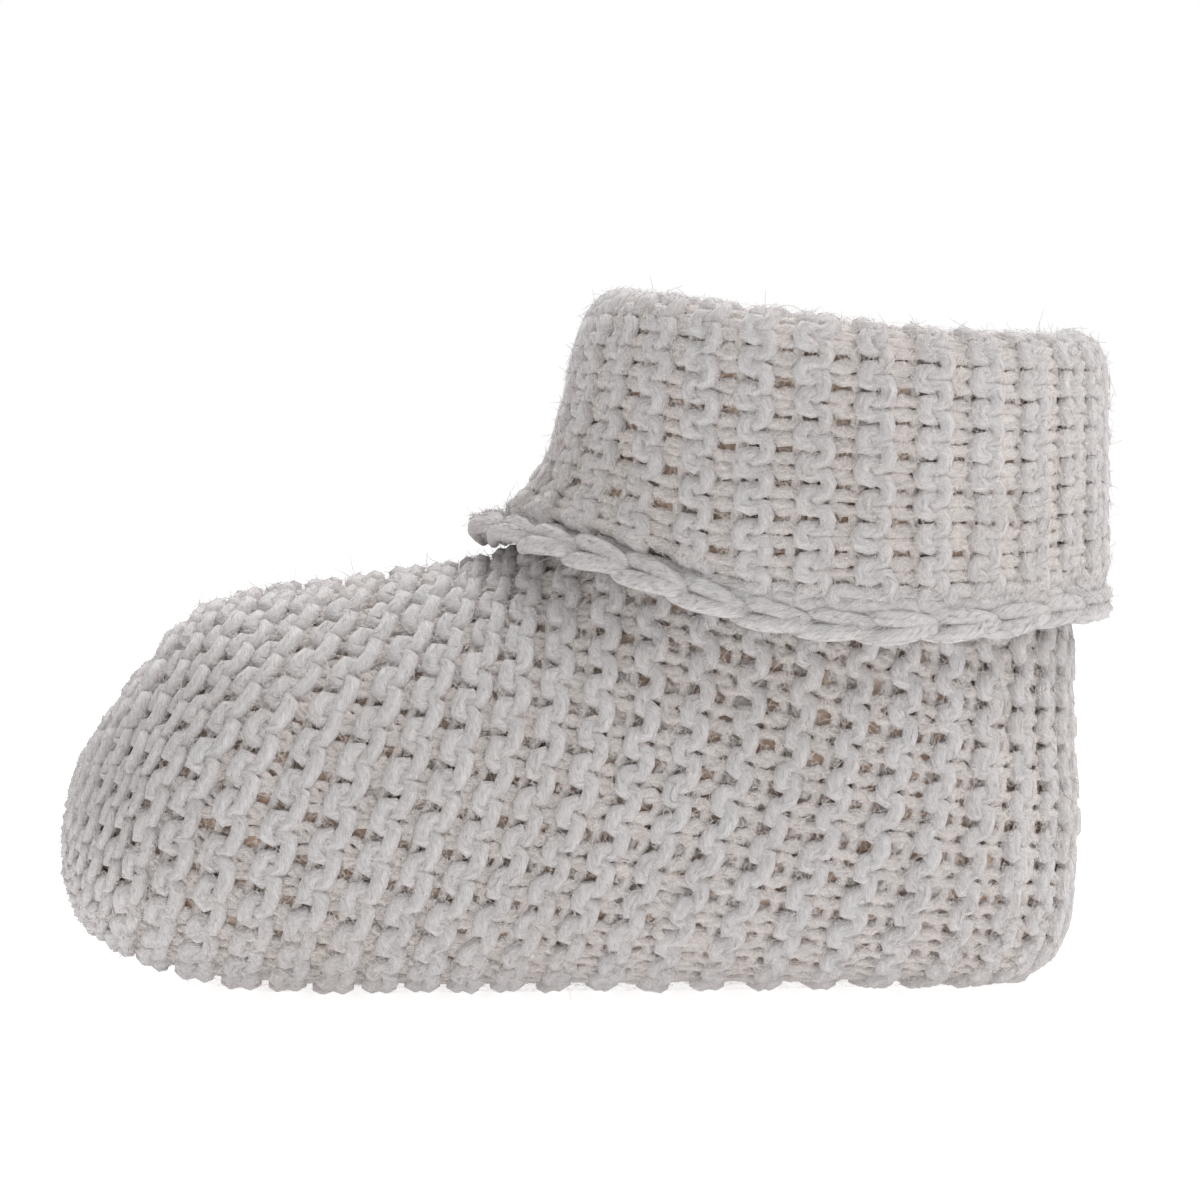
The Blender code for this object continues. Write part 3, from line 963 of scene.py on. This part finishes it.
def knit_insole(foot, wool):
    """The inside of the sole, as far as the ankle's opening shows it."""
    back = inner_wall(foot, (SHAFT_MIDDLE, 0, INSOLE_LEVEL), (1.0, 0, 0))[0] - 1.0 * MM
    xs = np.arange(INSOLE_FRONT, back, INSIDE_STEP)
    across = np.linspace(-1, 1, INSOLE_COLUMNS)
    grid = np.zeros((len(xs), len(across), 3))
    for i, x in enumerate(xs):
        half = inner_wall(foot, (x, 0, INSOLE_LEVEL), (0, -1.0, 0))[1] + INSIDE_STEP
        for j, share in enumerate(across):
            point = inner_wall(foot, (x, half * share, INSOLE_START), (0, 0, -1.0))
            grid[i, j] = point if point is not None else (x, half * share, INSOLE_HEIGHT)
    ride(yarn_piece("insole_knitting", inside_rows(grid, INSOLE_SEED), wool), "foot_wool",
         "knitted_foot")


def knit_inside(foot, wool):
    """The inside of the foot's walls before the shaft, as far as the opening shows them."""
    xs = np.arange(INSIDE_FRONT, INSIDE_BACK, INSIDE_STEP)
    grid = np.zeros((len(xs), INSIDE_COLUMNS, 3))
    for i, x in enumerate(xs):
        top = np.interp(x, *INSIDE_TOP)
        wall = []
        for angle in INSIDE_ANGLES:
            way = (0, math.sin(angle), -math.cos(angle))
            point = inner_wall(foot, (x, 0, INSIDE_CENTRE), way)
            if point is None or point[2] > top:
                break
            wall.append(point)
        wall = np.array(wall)
        lengths = along(wall)
        grid[i] = at_lengths(wall, lengths, np.linspace(0, lengths[-1], INSIDE_COLUMNS))
    yarns = inside_rows(grid, INSIDE_SEED)
    yarns += [(mirrored(rings), forward) for rings, forward in yarns]
    ride(yarn_piece("foot_inside_knitting", yarns, wool), "foot_wool", "knitted_foot")


def crochet_edge(foot, wool, fibres):
    """The chain of stitches round the cuff's hem."""
    line, outward, lengths = chain_line(foot)
    strands = [chain_link(line, outward, lengths, number, hand, CHAIN_SEED + 2 * number + hand)
               for number in range(LINKS) for hand in (-1, 1)]
    ride(yarn_piece("chain_stitches", strands, wool), "edge_wool", "chain_edge")
    ride(fuzz_piece("edge_fuzz", strands, fibres, EDGE_FIBRES, FUZZ_SEED + 2), "edge_wool")


def main():
    foot = tree_of("knitted_foot")
    cuff = tree_of("turned_cuff")
    # The second colour, lighter and warmer than the first, is painted glow where the yarn lies
    # deep.
    wool = wool_material("oatmeal_wool", (0.73, 0.705, 0.71), (0.84, 0.785, 0.76))
    back_nodes(foot)
    fibres = fibre_material("loose_fibres")
    knit_foot(foot, wool, fibres)
    knit_cuff(foot, cuff, wool, fibres)
    knit_insole(foot, wool)
    knit_inside(foot, wool)
    crochet_edge(foot, wool, fibres)


# ---- the stage

WHITE = (1.0, 1.0, 1.0, 1.0)
FLOOR_GLOW = (0.44, 0.72)   # on the wool, and for the camera
WORLD_GLOW = (0.405, 1.0)
FLOOR_SIZE = 3.0            # halved
CAMERA_TILT = 2.3           # degrees that the camera looks down
CAMERA_DISTANCE = 0.6
CAMERA_AIM = Vector((0.0014, 0.0, 0.0375))
SEEN_WIDTH = 0.11742        # what the camera takes in at the bootie's middle
SENSOR = 36


def make_floor():
    """A white floor that glows a little brighter for the camera than for the wool."""
    paper, nodes, shader = new_material("white_paper", 0.9, 0.5)
    seen = nodes.add("ShaderNodeLightPath").outputs["Is Camera Ray"]
    nodes.fill(shader, {"Base Color": (0.80, 0.80, 0.80, 1.0), "Emission Color": WHITE,
                        "Emission Strength": nodes.ramp(seen, 0.0, 1.0, *FLOOR_GLOW)})
    mesh = bpy.data.meshes.new("floor")
    mesh.from_pydata([(x * FLOOR_SIZE, y * FLOOR_SIZE, 0)
                      for x, y in ((-1, -1), (1, -1), (1, 1), (-1, 1))], [], [(0, 1, 2, 3)])
    mesh.materials.append(paper)
    floor = bpy.data.objects.new("floor", mesh)
    floor.location.z = -0.2 * MM
    bpy.context.scene.collection.objects.link(floor)


def make_world():
    """Soft light from all round, and white behind the bootie."""
    world = bpy.data.worlds.new("studio")
    world.use_nodes = True
    nodes = Nodes(world.node_tree)
    seen = nodes.add("ShaderNodeLightPath").outputs["Is Camera Ray"]
    nodes.fill(world.node_tree.nodes["Background"],
               {"Color": WHITE, "Strength": nodes.ramp(seen, 0.0, 1.0, *WORLD_GLOW)})
    bpy.context.scene.world = world
    bpy.context.scene.view_settings.view_transform = "Standard"


def make_light(name, place, target, size, power):
    light = bpy.data.lights.new(name, "AREA")
    light.size = size
    light.energy = power
    lamp = bpy.data.objects.new(name, light)
    lamp.location = place
    lamp.rotation_euler = (Vector(target) - Vector(place)).to_track_quat("-Z", "Y").to_euler()
    bpy.context.scene.collection.objects.link(lamp)


def make_camera():
    """The camera level with the bootie's near side, a little above it."""
    camera = bpy.data.cameras.new("camera")
    tilt = math.radians(CAMERA_TILT)
    camera.sensor_width = SENSOR
    camera.lens = SENSOR / SEEN_WIDTH * CAMERA_DISTANCE
    camera.clip_start = 0.01
    eye = bpy.data.objects.new("camera", camera)
    eye.location = CAMERA_AIM + Vector((0, -CAMERA_DISTANCE * math.cos(tilt),
                                        CAMERA_DISTANCE * math.sin(tilt)))
    eye.rotation_euler = (math.pi / 2 - tilt, 0, 0)
    bpy.context.scene.collection.objects.link(eye)
    bpy.context.scene.camera = eye


main()
make_floor()
make_world()
make_light("key", (0.42, -0.14, 0.70), (0, 0, 0.03), 0.45, 3.0)
make_light("top", (-0.15, 0.40, 0.60), (-0.02, 0, 0.03), 0.40, 3.0)
make_camera()
